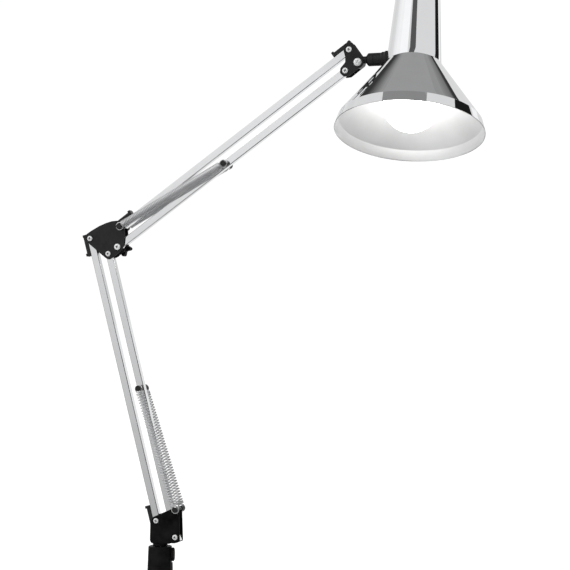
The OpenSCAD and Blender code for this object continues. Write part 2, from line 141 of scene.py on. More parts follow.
# ---------------------------------------------------------------- materials
class Finish:
    """A Principled material whose colour, roughness and bump come from object-space procedural nodes."""

    def __init__(self, name, color, metallic=0.0, roughness=0.4, **sockets):
        self.material = bpy.data.materials.new(name)
        self.material.use_nodes = True
        self.tree = self.material.node_tree
        self.tree.nodes.clear()
        out = self.node("ShaderNodeOutputMaterial")
        self.bsdf = self.node("ShaderNodeBsdfPrincipled")
        self.tree.links.new(self.bsdf.outputs[0], out.inputs[0])
        self.co = self.node("ShaderNodeTexCoord").outputs["Object"]
        self.bsdf.inputs["Base Color"].default_value = (*color, 1)
        self.bsdf.inputs["Metallic"].default_value = metallic
        self.bsdf.inputs["Roughness"].default_value = roughness
        for k, v in sockets.items():
            self.bsdf.inputs[k.replace("_", " ")].default_value = v
        self.last_normal = None
        self.material.diffuse_color = (*color, 1)

    def node(self, kind, **props):
        n = self.tree.nodes.new(kind)
        for k, v in props.items():
            setattr(n, k, v)
        return n

    def stretched(self, scale, turn=(0, 0, 0)):
        """Object coordinates turned by the angles, then stretched."""
        out = self.co
        for socket, value in (("Rotation", turn), ("Scale", scale)):
            m = self.node("ShaderNodeMapping")
            m.inputs[socket].default_value = value
            self.tree.links.new(out, m.inputs["Vector"])
            out = m.outputs["Vector"]
        return out

    def noise(self, scale, detail=3.0, rough=0.55, distortion=0.0, co=None):
        n = self.node("ShaderNodeTexNoise")
        n.inputs["Scale"].default_value = scale
        n.inputs["Detail"].default_value = detail
        n.inputs["Roughness"].default_value = rough
        n.inputs["Distortion"].default_value = distortion
        self.tree.links.new(co if co is not None else self.co, n.inputs["Vector"])
        return n.outputs["Fac"]

    def cells(self, scale, feature="F1", co=None):
        n = self.node("ShaderNodeTexVoronoi", feature=feature)
        n.inputs["Scale"].default_value = scale
        self.tree.links.new(co if co is not None else self.co, n.inputs["Vector"])
        return n.outputs["Distance"]

    def spread(self, fac, lo, hi, to_lo, to_hi):
        n = self.node("ShaderNodeMapRange")
        for i, v in zip(("From Min", "From Max", "To Min", "To Max"), (lo, hi, to_lo, to_hi)):
            n.inputs[i].default_value = v
        self.tree.links.new(fac, n.inputs["Value"])
        return n.outputs["Result"]

    def ramp(self, fac, stops):
        n = self.node("ShaderNodeValToRGB")
        e = n.color_ramp.elements
        while len(e) < len(stops):
            e.new(0.5)
        for x, (p, c) in zip(e, stops):
            x.position, x.color = p, (*c, 1)
        self.tree.links.new(fac, n.inputs["Fac"])
        return n.outputs["Color"]

    def color(self, out):
        self.tree.links.new(out, self.bsdf.inputs["Base Color"])
        return self

    def rough(self, out):
        self.tree.links.new(out, self.bsdf.inputs["Roughness"])
        return self

    def bump(self, height, strength, distance):
        n = self.node("ShaderNodeBump")
        n.inputs["Strength"].default_value = strength
        n.inputs["Distance"].default_value = distance
        self.tree.links.new(height, n.inputs["Height"])
        if self.last_normal is not None:
            self.tree.links.new(self.last_normal, n.inputs["Normal"])
        self.last_normal = n.outputs["Normal"]
        self.tree.links.new(self.last_normal, self.bsdf.inputs["Normal"])
        return self


def mixed(a, b, t):
    return tuple(x + (y - x) * t for x, y in zip(a, b))


def chrome(name, base, rough_lo, rough_hi):
    f = Finish(name, base, 1.0, rough_lo)
    cloud = f.noise(55, 4, 0.6, 0.4)
    f.color(f.ramp(cloud, [(0.3, mixed(base, (0, 0, 0), 0.03)), (0.7, base)]))
    f.rough(f.spread(f.noise(140, 5, 0.65), 0.35, 0.75, rough_lo, rough_hi))
    return f


def painted(name, base, roughness, grain=2600, strength=0.25, distance=0.00006, **sockets):
    f = Finish(name, base, 0.0, roughness, **sockets)
    f.color(f.ramp(f.noise(90, 4, 0.6), [(0.3, mixed(base, (0, 0, 0), 0.25)), (0.75, mixed(base, (1, 1, 1), 0.006))]))
    f.rough(f.spread(f.noise(420, 4, 0.6), 0.3, 0.7, roughness - 0.06, roughness + 0.07))
    f.bump(f.noise(grain, 2, 0.5), strength, distance)
    return f


def plated(name, base, lo, hi, brush=(1, 1, 1), grain=1800, metallic=1.0):
    f = Finish(name, base, metallic, lo)
    co = f.stretched(brush)
    f.color(f.ramp(f.noise(260, 4, 0.6), [(0.3, mixed(base, (0, 0, 0), 0.12)), (0.72, base)]))
    f.rough(f.spread(f.noise(grain, 4, 0.7, co=co), 0.3, 0.7, lo, hi))
    f.bump(f.noise(grain, 3, 0.6, co=co), 0.12, 0.00003)
    return f


M = {}
M["tube_chrome"] = chrome("tube_chrome", (0.80, 0.805, 0.815), 0.06, 0.12).material
M["shade_chrome"] = chrome("shade_chrome", (0.87, 0.875, 0.885), 0.012, 0.035).material
M["spring_steel"] = plated("spring_steel", (0.84, 0.845, 0.855), 0.25, 0.38, metallic=0.88).material
M["zinc_steel"] = plated("zinc_steel", (0.74, 0.75, 0.77), 0.2, 0.36).material
M["pivot_steel"] = plated("pivot_steel", (0.80, 0.805, 0.81), 0.28, 0.42, metallic=0.6).material
M["clamp_black"] = painted("clamp_black", (0.0018, 0.0018, 0.0020), 0.42, 1500, 0.35, 0.00012, Specular_IOR_Level=0.08).material
M["base_black"] = painted("base_black", (0.0014, 0.0014, 0.0016), 0.38, 2600, 0.2, 0.00006, Specular_IOR_Level=0.04).material
M["bracket_black"] = painted("bracket_black", (0.0070, 0.0070, 0.0074), 0.42, 2600, 0.25, 0.00006, Specular_IOR_Level=0.22).material
M["moulded_black"] = painted("moulded_black", (0.0045, 0.0045, 0.0048), 0.33, 3200, 0.2, 0.00005, Specular_IOR_Level=0.32).material
M["rubber"] = painted("rubber", (0.012, 0.012, 0.012), 0.8, 1200, 0.5, 0.00015, Specular_IOR_Level=0.25).material


def nylon():
    f = Finish("nylon", (0.78, 0.77, 0.72), 0.0, 0.45, Subsurface_Weight=0.15, Subsurface_Scale=0.002)
    f.color(f.ramp(f.noise(300, 3), [(0.3, (0.70, 0.69, 0.64)), (0.7, (0.80, 0.79, 0.75))]))
    f.rough(f.spread(f.noise(900, 3), 0.3, 0.7, 0.38, 0.52))
    f.bump(f.noise(2400, 2), 0.15, 0.00004)
    return f.material


def porcelain():
    f = Finish("holder_white", (0.82, 0.82, 0.79), 0.0, 0.28, Coat_Weight=0.4, Coat_Roughness=0.1)
    f.color(f.ramp(f.noise(120, 3), [(0.3, (0.76, 0.76, 0.72)), (0.7, (0.84, 0.84, 0.81))]))
    f.rough(f.spread(f.noise(700, 3), 0.3, 0.7, 0.22, 0.34))
    f.bump(f.noise(500, 2), 0.1, 0.00008)
    return f.material


def brass():
    f = Finish("brass", (0.72, 0.55, 0.26), 1.0, 0.3)
    f.color(f.ramp(f.noise(350, 4), [(0.3, (0.55, 0.40, 0.18)), (0.7, (0.78, 0.61, 0.30))]))
    f.rough(f.spread(f.noise(1200, 4), 0.3, 0.7, 0.24, 0.4))
    f.bump(f.noise(1800, 3), 0.15, 0.00003)
    return f.material


def frosted():
    f = Finish("bulb_frosted", (0.96, 0.96, 0.94), 0.0, 0.55, Emission_Strength=7.0)
    f.bsdf.inputs["Emission Color"].default_value = (1.0, 0.99, 0.97, 1)
    f.color(f.ramp(f.noise(1500, 3), [(0.3, (0.92, 0.92, 0.90)), (0.7, (0.97, 0.97, 0.96))]))
    f.rough(f.spread(f.noise(1800, 3), 0.3, 0.7, 0.48, 0.62))
    f.bump(f.noise(3500, 2), 0.2, 0.00004)
    return f.material


def satin_inside():
    """The shade's unpolished inner face: spun metal, with fine rings about the shade's axis."""
    base = (0.50, 0.502, 0.507)
    f = Finish("shade_satin", base, 0.5, 0.4)
    co = f.stretched((1, 1, 14), (rad(SHADE_TURN), 0, 0))
    f.color(f.ramp(f.noise(60, 4, 0.6), [(0.3, mixed(base, (0, 0, 0), 0.05)), (0.7, base)]))
    f.rough(f.spread(f.noise(300, 4, 0.7, co=co), 0.3, 0.7, 0.36, 0.48))
    f.bump(f.noise(900, 3, 0.6, co=co), 0.1, 0.00004)
    return f.material


M["nylon"] = nylon()
M["holder_white"] = porcelain()
M["brass"] = brass()
M["bulb_frosted"] = frosted()
M["bulb_cap_metal"] = plated("bulb_cap_metal", (0.72, 0.73, 0.75), 0.25, 0.4).material
M["shade_satin"] = satin_inside()

# node: (material, record slot)
FINISH = {}
for name in ("clamp_body", "clamp_knob", "thumb_knob"):
    FINISH[name] = ("clamp_black", "clamp_black")
for name in ("jaw_pad", "foot_pad"):
    FINISH[name] = ("rubber", "rubber")
for name in ("post_bush", "lower_main_bushes", "lower_link_bushes", "upper_main_bushes", "upper_link_bushes"):
    FINISH[name] = ("nylon", "nylon")
for name in ("clamp_foot", "clamp_spindle", "thumb_screw", "base_spring_pegs", "lower_anchor_pin", "elbow_spring_pin",
             "upper_anchor_pin", "neck_spindle", "neck_nut", "holder_nut", "base_nuts", "elbow_nuts", "head_nuts", "head_bolt_nut"):
    FINISH[name] = ("zinc_steel", "zinc_steel")
for name in ("base_pivot_screws", "elbow_pivot_screws", "elbow_bolt", "head_pivot_screws", "head_bolt"):
    FINISH[name] = ("pivot_steel", "zinc_steel")
for name in ("base_bracket", "base_post"):
    FINISH[name] = ("base_black", "bracket_black")
for name in ("elbow_plate_front", "elbow_plate_back", "head_plate_front", "head_plate_back"):
    FINISH[name] = ("bracket_black", "bracket_black")
for name in ("base_peg_caps", "lower_anchor_caps", "upper_anchor_caps", "elbow_pin_caps", "lower_cord_guides", "upper_cord_guides",
             "knuckle", "neck_collar", "neck_sleeve", "cord_grommet", "switch_knob"):
    FINISH[name] = ("moulded_black", "moulded_black")
for name in ("lower_main_tube", "lower_link_tube", "upper_main_tube", "upper_link_tube"):
    FINISH[name] = ("tube_chrome", "tube_chrome")
for name in ("lower_spring_front", "lower_spring_back", "upper_spring_front", "upper_spring_back"):
    FINISH[name] = ("spring_steel", "spring_steel")
FINISH["elbow_knob"] = ("base_black", "moulded_black")
FINISH["shade_shell"] = ("shade_chrome", "shade_chrome")
FINISH["lampholder"] = ("holder_white", "holder_white")
FINISH["holder_shell"] = ("brass", "brass")
FINISH["bulb_glass"] = ("bulb_frosted", "bulb_frosted")
FINISH["bulb_cap"] = ("bulb_cap_metal", "bulb_cap_metal")

for name, node in frame["nodes"].items():
    node.data.materials.clear()
    node.data.materials.append(M[FINISH[name][0]])
BODY = {n: b for b, ns in frame["record"]["behaviour"]["bodies"].items() for n in ns}


# ---------------------------------------------------------------- mesh helpers
def link(name, mesh, material):
    ob = bpy.data.objects.new(name, mesh)
    bpy.context.scene.collection.objects.link(ob)
    for m in material if isinstance(material, (list, tuple)) else [material]:
        mesh.materials.append(M[m])
    return ob


def mesh_of(name, verts, faces, smooth=True):
    me = bpy.data.meshes.new(name)
    me.from_pydata([tuple(v) for v in verts], [], [tuple(f) for f in faces])
    me.update()
    if smooth:
        me.polygons.foreach_set("use_smooth", [True] * len(me.polygons))
    return me


def cad_mesh(node):
    """A clean copy of a CAD node's mesh: corners joined and flat faces whole."""
    src = frame["nodes"][node].data
    me = bpy.data.meshes.new(node + "_copy")
    me.from_pydata([tuple(v.co) for v in src.vertices], [], [tuple(p.vertices) for p in src.polygons])
    bm = bmesh.new()
    bm.from_mesh(me)
    bpy.data.meshes.remove(me)
    bmesh.ops.remove_doubles(bm, verts=bm.verts, dist=2e-6)
    bmesh.ops.dissolve_degenerate(bm, dist=1e-6, edges=bm.edges)
    bmesh.ops.dissolve_limit(bm, angle_limit=rad(0.6), verts=bm.verts, edges=bm.edges)
    return bm


def refine(node, width, segments=2, angle=32, suffix="finish", keep=None, material=None):
    """The CAD node with small rounded edges, so that its corners catch the light."""
    bm = cad_mesh(node)
    for f in bm.faces:
        f.smooth = True
    me = bpy.data.meshes.new(f"{node}_{suffix}")
    bm.to_mesh(me)
    bm.free()
    mat, slot = FINISH[node]
    ob = link(f"{node}_{suffix}", me, material or mat)
    bevel = ob.modifiers.new("edge", "BEVEL")
    bevel.width = width * MM
    bevel.segments = segments
    bevel.limit_method = "ANGLE"
    bevel.angle_limit = rad(angle)
    bevel.miter_outer = "MITER_ARC"
    bevel.use_clamp_overlap = False
    normal = ob.modifiers.new("normal", "WEIGHTED_NORMAL")
    normal.mode = "FACE_AREA_WITH_ANGLE"
    normal.weight = 70
    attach(ob, BODY[node])
    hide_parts(node)
    return ob


def sweep(points, radius, sides=8, closed=False):
    """Vertices and faces of a round wire along points, with capped ends."""
    p = np.asarray(points, float)
    n = len(p)
    if closed:
        t = np.roll(p, -1, 0) - np.roll(p, 1, 0)
    else:
        t = np.gradient(p, axis=0)
    t /= np.linalg.norm(t, axis=1)[:, None]
    a = np.cross(t[0], [0.3, 1, 0.2])
    a /= np.linalg.norm(a)
    normals = [a]
    for i in range(1, n):
        a = normals[-1] - t[i] * (normals[-1] @ t[i])
        normals.append(a / np.linalg.norm(a))
    normals = np.array(normals)
    others = np.cross(t, normals)
    verts, faces = [], []
    for i in range(n):
        for k in range(sides):
            q = 2 * math.pi * k / sides
            verts.append(p[i] + radius * (normals[i] * math.cos(q) + others[i] * math.sin(q)))
    last = n if closed else n - 1
    shift = 0
    if closed:  # line the last ring up with the first
        q = math.atan2(normals[-1] @ others[0], normals[-1] @ normals[0])
        shift = round(-q / (2 * math.pi) * sides)
    for i in range(last):
        j = (i + 1) % n
        s = shift if j == 0 and closed else 0
        for k in range(sides):
            faces.append((i * sides + k, i * sides + (k + 1) % sides, j * sides + (k + 1 - s) % sides, j * sides + (k - s) % sides))
    if not closed:
        faces.append(tuple(reversed(range(sides))))
        faces.append(tuple((n - 1) * sides + k for k in range(sides)))
    return verts, faces


def hermite(p0, t0, p1, t1, n):
    s = np.linspace(0, 1, n)[:, None]
    return (2 * s**3 - 3 * s**2 + 1) * p0 + (s**3 - 2 * s**2 + s) * t0 + (-2 * s**3 + 3 * s**2) * p1 + (s**3 - s**2) * t1


def arcs(points, radii, steps=5):
    """An open profile with rounded corners: points are (r, z), radii one per point."""
    out = [points[0]]
    for i in range(1, len(points) - 1):
        a, b, c = (np.array(points[j], float) for j in (i - 1, i, i + 1))
        r = radii[i]
        if r <= 0:
            out.append(tuple(b))
            continue
        u, v = (a - b) / np.linalg.norm(a - b), (c - b) / np.linalg.norm(c - b)
        h = math.acos(max(-1, min(1, float(u @ v)))) / 2
        d = r / math.tan(h)
        w = (u + v) / np.linalg.norm(u + v)
        m = b + w * r / math.sin(h)
        s, e = b + u * d - m, b + v * d - m
        w = math.pi - 2 * h
        sign = 1 if s[0] * e[1] - s[1] * e[0] > 0 else -1
        for k in range(steps + 1):
            q = sign * w * k / steps
            out.append((m[0] + s[0] * math.cos(q) - s[1] * math.sin(q), m[1] + s[0] * math.sin(q) + s[1] * math.cos(q)))
    out.append(points[-1])
    return out


def lathe(profile, segments, closed=False):
    """Vertices and faces of a turned shape about Z. Points at radius 0 become one vertex."""
    verts, rings = [], []
    for r, z in profile:
        if r < 1e-6:
            rings.append([len(verts)])
            verts.append((0, 0, z))
        else:
            rings.append(list(range(len(verts), len(verts) + segments)))
            verts += [(r * math.cos(2 * math.pi * k / segments), r * math.sin(2 * math.pi * k / segments), z) for k in range(segments)]
    faces = []
    pairs = list(zip(range(len(profile)), range(1, len(profile))))
    if closed:
        pairs.append((len(profile) - 1, 0))
    for i, j in pairs:
        a, b = rings[i], rings[j]
        for k in range(segments):
            k2 = (k + 1) % segments
            if len(a) == 1 and len(b) == 1:
                continue
            if len(a) == 1:
                faces.append((a[0], b[k2], b[k]))
            elif len(b) == 1:
                faces.append((a[k], a[k2], b[0]))
            else:
                faces.append((a[k], a[k2], b[k2], b[k]))
    return verts, faces


def outward(me):
    bm = bmesh.new()
    bm.from_mesh(me)
    bmesh.ops.recalc_face_normals(bm, faces=bm.faces)
    bm.to_mesh(me)
    bm.free()


# ---------------------------------------------------------------- shade
def shade():
    out = arcs([(5.1, TAIL_H), (TAIL_R - 4.5, TAIL_H), (TAIL_R - 1.2, TAIL_H - 1.3), (TAIL_R + 0.3, TAIL_H - 4.5), (WAIST_R, 0),
                (RIM_R - 3.1, -CONE_H + 11.6), (RIM_R, -CONE_H + 0.35)], [0, 3, 2.2, 3, 0.5, 0.6, 0], 6)
    rim = [(RIM_R - 0.12, -CONE_H + 0.08), (RIM_R - 0.4, -CONE_H), (RIM_R - 0.68, -CONE_H + 0.08)]
    inn = arcs([(RIM_R - SHEET, -CONE_H + 0.35), (RIM_R - 3.1 - SHEET * 1.12, -CONE_H + 11.3), (WAIST_R - SHEET * 1.05, 0.6),
                (TAIL_R + 0.3 - SHEET, TAIL_H - 5), (TAIL_R - 2, TAIL_H - SHEET - 1.1), (TAIL_R - 4.7, TAIL_H - SHEET), (5.1, TAIL_H - SHEET)],
               [0, 0.6, 0.6, 2.4, 1.6, 2, 0], 6)
    profile = []
    for a, b in zip(out + rim + inn, (out + rim + inn)[1:]):  # extra rings on the long straight parts
        n = max(1, int(math.hypot(b[0] - a[0], b[1] - a[1]) / 6))
        profile += [(a[0] + (b[0] - a[0]) * k / n, a[1] + (b[1] - a[1]) * k / n) for k in range(n)]
    profile.append(inn[-1])
    verts, faces = lathe(profile, 256, closed=True)
    me = mesh_of("shade", [Vector(v) * MM for v in verts], faces)
    outward(me)
    ob = bpy.data.objects.new("shade_spun", me)
    bpy.context.scene.collection.objects.link(ob)
    # holes: vents and grommet in the shade's frame, spindle along X
    bm = bmesh.new()

    def tool(m, r, length, n=40):
        bmesh.ops.create_cone(bm, cap_ends=True, segments=n, radius1=r * MM, radius2=r * MM, depth=length * MM, matrix=m)

    for i in range(8):
        q = rad(i * 45 + 22.5)
        tool(Matrix.Translation(Vector((14.5 * math.cos(q), 14.5 * math.sin(q), TAIL_H)) * MM), 1.6, 12, 28)
    tool(Matrix.Translation(Vector((0, 30, TAIL_H - 13)) * MM) @ Matrix.Rotation(rad(90), 4, "X"), 4.05, 40)
    spindle = Matrix.Translation(Vector((H3[0] + 30, 0, NECK_Z)) * MM) @ Matrix.Rotation(rad(90), 4, "Y")
    tool(IN_SHADE.inverted() @ spindle, 2.8, 20)
    cut = bpy.data.meshes.new("holes")
    bm.to_mesh(cut)
    bm.free()
    cutter = bpy.data.objects.new("holes", cut)
    bpy.context.scene.collection.objects.link(cutter)
    mod = ob.modifiers.new("holes", "BOOLEAN")
    mod.operation, mod.object, mod.solver = "DIFFERENCE", cutter, "EXACT"
    dg = bpy.context.evaluated_depsgraph_get()
    dg.update()
    done = bpy.data.meshes.new_from_object(ob.evaluated_get(dg))
    ob.modifiers.clear()
    ob.data = done
    bpy.data.objects.remove(cutter)
    done.name = "shade_shell_spun"
    # exact normals of the turned surfaces, so that reflections run clean past the holes
    pts = [np.array(p) for p in profile] + [np.array(profile[0])]
    pr, pz = np.array([p[0] for p in pts]), np.array([p[1] for p in pts])
    dr, dz = np.diff(pr), np.diff(pz)
    ln = np.hypot(dr, dz)
    seg_n = np.stack([-dz / ln, dr / ln], 1)  # left of the path
    k = len(ln)
    if seg_n[len(out) // 2][0] < 0:
        seg_n = -seg_n
    vert_n = np.zeros((k, 2))
    for i in range(k):
        a, b = seg_n[i - 1], seg_n[i]
        if a @ b > 0.9:
            v = a * 1 + b * 1
            vert_n[i] = v / np.linalg.norm(v)
        else:
            vert_n[i] = b
    centre_line = np.stack([pr, pz], 1)
    normals = []
    co = np.array([v.co for v in done.vertices], float).reshape(-1, 3) / MM
    for poly in done.polygons:
        pn = np.array(poly.normal)
        pc = np.array(poly.center) / MM
        th = math.atan2(pc[1], pc[0])
        prz = np.array([math.hypot(pc[0], pc[1]), pc[2]])
        n2 = np.array([pn[0] * math.cos(th) + pn[1] * math.sin(th), pn[2]])
        # segment of the profile this face lies on
        a, b = centre_line[:-1], centre_line[1:]
        t = np.clip(((prz - a) * (b - a)).sum(1) / ((b - a) ** 2).sum(1), 0, 1)
        d = np.linalg.norm(a + (b - a) * t[:, None] - prz, axis=1)
        d += 2.0 * (1 - seg_n @ n2)
        i = int(d.argmin())
        on = seg_n[i] @ n2 > 0.95 and abs(-pn[0] * math.sin(th) + pn[1] * math.cos(th)) < 0.2
        for v in poly.vertices:
            if not on:
                normals.append(tuple(pn))
                continue
            c = co[v]
            q = math.atan2(c[1], c[0])
            rz = np.array([math.hypot(c[0], c[1]), c[2]])
            s = float(np.clip(((rz - centre_line[i]) @ (centre_line[i + 1] - centre_line[i])) / ln[i] ** 2, 0, 1))
            na, nb = vert_n[i], vert_n[(i + 1) % k]
            if na @ seg_n[i] < 0.9:
                na = seg_n[i]
            if nb @ seg_n[i] < 0.9:
                nb = seg_n[i]
            m = na * (1 - s) + nb * s
            m = m / np.linalg.norm(m)
            normals.append((m[0] * math.cos(q), m[0] * math.sin(q), m[1]))
        # inner surfaces are satin
        poly.material_index = 0
        if on:
            inner = seg_n[i][0] < 0 and prz[1] < TAIL_H - 0.5 or seg_n[i][1] < -0.5 and prz[1] > TAIL_H - 1.2 and prz[0] < TAIL_R
            inner = inner and not (prz[0] > RIM_R - 0.75 and prz[1] < -CONE_H + 0.5)
            poly.material_index = 1 if inner else 0
    for m in ("shade_chrome", "shade_satin"):
        done.materials.append(M[m])
    done.polygons.foreach_set("use_smooth", [True] * len(done.polygons))
    done.transform(IN_SHADE)
    turn = IN_SHADE.to_3x3()
    done.normals_split_custom_set([turn @ Vector(n) for n in normals])
    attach(ob, "shade")
    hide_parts("shade_shell")
    return ob


shade()


# ---------------------------------------------------------------- bulb
def bulb():
    c = -CONE_H + 2 + BULB_R
    prof = [(0, -CONE_H + 2)]
    prof += [(BULB_R * math.cos(t), c + BULB_R * math.sin(t)) for t in [rad(-90 + 4 * i) for i in range(1, 33)]]
    # shoulder, as a smooth neck down to the cap
    a = prof[-1]
    end = np.array([13.2, -0.8])
    ta = np.array([-math.sin(rad(38)), math.cos(rad(38))]) * 26
    prof += [tuple(x) for x in hermite(np.array(a), ta, end, np.array([-0.6, 9.0]), 12)[1:]]
    prof += [(12.6, -0.1), (12.2, 0.2), (0, 0.2)]
    verts, faces = lathe(prof, 96)
    me = mesh_of("bulb_globe", [IN_SHADE @ (Vector(v) * MM) for v in verts], faces)
    outward(me)
    ob = link("bulb_globe", me, "bulb_frosted")
    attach(ob, "shade")
    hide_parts("bulb_glass")


bulb()


# ---------------------------------------------------------------- springs
EYE_R = COIL_R - WIRE_R + 0.2
EYE_OFF = EYE_R - WIRE_R - 3.05
COIL_WIRE = WIRE_R + 0.08
MEAN = COIL_R - COIL_WIRE


def spring(name, node, p, q, y, body_p, body_q, pivot, pitch, straighten=1.0):
    """A close-ended coil with its hooks, and a wire ring round each pin."""
    d = q - p
    length = float(np.linalg.norm(d))
    u = np.array([d[0], 0, d[1]]) / length
    v = np.array([u[2], 0, -u[0]])
    w = np.array([0, 1.0, 0])
    origin = np.array([p[0], y, p[1]])

    def world(local):
        local = np.asarray(local, float)
        return origin + local[:, :1] * u + local[:, 1:2] * v + local[:, 2:3] * w

    start = EYE_OFF + EYE_R - 0.3 + WIRE_R
    end = length - start
    # tight turns at both ends, open ones between, a whole number in all
    tight = 2 * COIL_WIRE + 0.1
    turns = round((end - start - 4 * tight) / pitch) + 4
    steps = 20
    ts = np.linspace(0, turns, turns * steps + 1)
    local_pitch = np.where((ts < 2) | (ts > turns - 2), tight, pitch)
    soft = np.convolve(np.pad(local_pitch, steps, mode="edge"), np.ones(2 * steps + 1) / (2 * steps + 1), "valid")
    a = np.concatenate([[0], np.cumsum((soft[1:] + soft[:-1]) / 2)]) / steps
    a = start + a / a[-1] * (end - start)
    phi = rad(-90) - 2 * math.pi * ts
    helix = np.stack([a, MEAN * np.cos(phi), MEAN * np.sin(phi)], 1)
    th = rad(60)  # the hook leaves the ring here
    p0 = np.array([EYE_OFF + EYE_R * math.cos(th), EYE_R * math.sin(th), 0])
    t0 = np.array([math.sin(th), -math.cos(th), 0])
    hook = hermite(p0, t0 * 6, helix[0], np.array([0.4, -1, 0]) * 5, 12)
    other = hook[::-1].copy()
    other[:, 0] = length - other[:, 0]
    other[:, 1] = -other[:, 1]
    path = np.concatenate([hook[:-1], helix, other[1:]])
    verts, faces = sweep(world(path), COIL_WIRE, 8)
    me = mesh_of(name + "_coil", np.array(verts) * MM, faces)
    outward(me)
    coil = link(name + "_coil", me, "spring_steel")
    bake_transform(coil, body_p, body_q, start=tuple(world([[start, 0, 0]])[0] * MM), end=tuple(world([[end, 0, 0]])[0] * MM))
    # each point turns about the pivot by its share of the pin's travel
    co = np.array([x.co for x in me.vertices], float).reshape(-1, 3) / MM
    share = np.clip((co - origin) @ u / length, 0, 1)
    centre = origin + share[:, None] * length * u
    reach = np.hypot(centre[:, 0] - pivot[0], centre[:, 2] - pivot[1])
    far = math.hypot(q[0] - pivot[0], q[1] - pivot[1])
    weight = 1 - (1 - np.clip(share * far / reach, 0, 1)) ** straighten
    me.attributes["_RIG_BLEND"].data.foreach_set("value", weight.astype(np.float32))
    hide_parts(node)
    for body, centre_u, tag in ((body_p, EYE_OFF, "near"), (body_q, length - EYE_OFF, "far")):
        ring = [(centre_u + EYE_R * math.cos(x), EYE_R * math.sin(x), 0) for x in np.linspace(0, 2 * math.pi, 48, endpoint=False)]
        verts, faces = sweep(world(ring), WIRE_R, 10, closed=True)
        me = mesh_of(f"{name}_eye_{tag}", np.array(verts) * MM, faces)
        outward(me)
        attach(link(f"{name}_eye_{tag}", me, "spring_steel"), body)


spring("lower_spring_front", "lower_spring_front", Q, R, -COIL_Y, "base", "lower_main", P2, 3.05)
spring("lower_spring_back", "lower_spring_back", Q, R, COIL_Y, "base", "lower_main", P2, 3.05)
spring("upper_spring_front", "upper_spring_front", D, S, -COIL_Y, "elbow", "upper_main", C, 1.9, 1.9)
spring("upper_spring_back", "upper_spring_back", D, S, COIL_Y, "elbow", "upper_main", C, 1.9, 1.9)

# ---------------------------------------------------------------- arm tubes
CORNER = 0.85


def tube(node, p, angle, length, pin=0):
    """A square tube with rounded corners, open at its ends and drilled across, with exact normals."""
    h, n = TUBE / 2, 8

    def ring(half, r):
        pts = []
        for k, (sv, sw) in enumerate(((1, 1), (-1, 1), (-1, -1), (1, -1))):
            for i in range(n + 1):
                q = math.pi / 2 * (k + i / n)
                pts.append((sv * (half - r) + r * math.cos(q), sw * (half - r) + r * math.sin(q)))
        return pts

    rings = [ring(h, CORNER), ring(h - WALL, 0.25)]
    m = len(rings[0])
    verts = [(x, v, w) for r in rings for x in (-5, length + 5) for v, w in r]
    faces = []
    for i in range(m):
        j = (i + 1) % m
        faces.append((i, m + i, m + j, j))  # outer wall
        faces.append((2 * m + i, 2 * m + j, 3 * m + j, 3 * m + i))  # inner wall
        faces.append((i, j, 2 * m + j, 2 * m + i))  # ends
        faces.append((m + i, 3 * m + i, 3 * m + j, m + j))
    me = mesh_of(node + "_drawn", [Vector(v) * MM for v in verts], faces)
    outward(me)
    ob = bpy.data.objects.new(node + "_finish", me)
    bpy.context.scene.collection.objects.link(ob)
    bm = bmesh.new()
    for x, r in [(0, 3.05), (length, 3.05)] + ([(pin, 2.05)] if pin else []):
        at = Matrix.Translation(Vector((x, 0, 0)) * MM) @ Matrix.Rotation(rad(90), 4, "X")
        bmesh.ops.create_cone(bm, cap_ends=True, segments=36, radius1=r * MM, radius2=r * MM, depth=20 * MM, matrix=at)
    cut = bpy.data.meshes.new("drill")
    bm.to_mesh(cut)
    bm.free()
    cutter = bpy.data.objects.new("drill", cut)
    bpy.context.scene.collection.objects.link(cutter)
    mod = ob.modifiers.new("drill", "BOOLEAN")
    mod.operation, mod.object, mod.solver = "DIFFERENCE", cutter, "EXACT"
    dg = bpy.context.evaluated_depsgraph_get()
    dg.update()
    done = bpy.data.meshes.new_from_object(ob.evaluated_get(dg))
    ob.modifiers.clear()
    ob.data = done
    bpy.data.objects.remove(cutter)
    normals = []
    for poly in done.polygons:
        pn = poly.normal
        c = poly.center / MM
        wall = abs(pn.x) < 0.01 and max(abs(c.y), abs(c.z)) > h - CORNER * 0.6
        for v in poly.vertices:
            q = done.vertices[v].co / MM
            dv, dw = max(0, abs(q.y) - (h - CORNER)), max(0, abs(q.z) - (h - CORNER))
            if not wall:
                normals.append(tuple(pn))
            elif dv * dw > 1e-6:
                normals.append((0, math.copysign(dv, q.y) / math.hypot(dv, dw), math.copysign(dw, q.z) / math.hypot(dv, dw)))
            elif abs(pn.y) > abs(pn.z):
                normals.append((0, math.copysign(1, pn.y), 0))
            else:
                normals.append((0, 0, math.copysign(1, pn.z)))
    done.polygons.foreach_set("use_smooth", [True] * len(done.polygons))
    place = Matrix.Translation(Vector((p[0], 0, p[1])) * MM) @ Matrix.Rotation(rad(-angle), 4, "Y")
    done.transform(place)
    turn = place.to_3x3()
    done.normals_split_custom_set([turn @ Vector(v) for v in normals])
    mat, slot = FINISH[node]
    done.materials.append(M[mat])
    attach(ob, BODY[node])
    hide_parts(node)


tube("lower_main_tube", P2, LOWER_ANG, LOWER_L, 170)
tube("lower_link_tube", P1, LOWER_ANG, LOWER_L)
tube("upper_main_tube", C, UPPER_ANG, UPPER_L, 156.4)
tube("upper_link_tube", D, UPPER_ANG, UPPER_L)

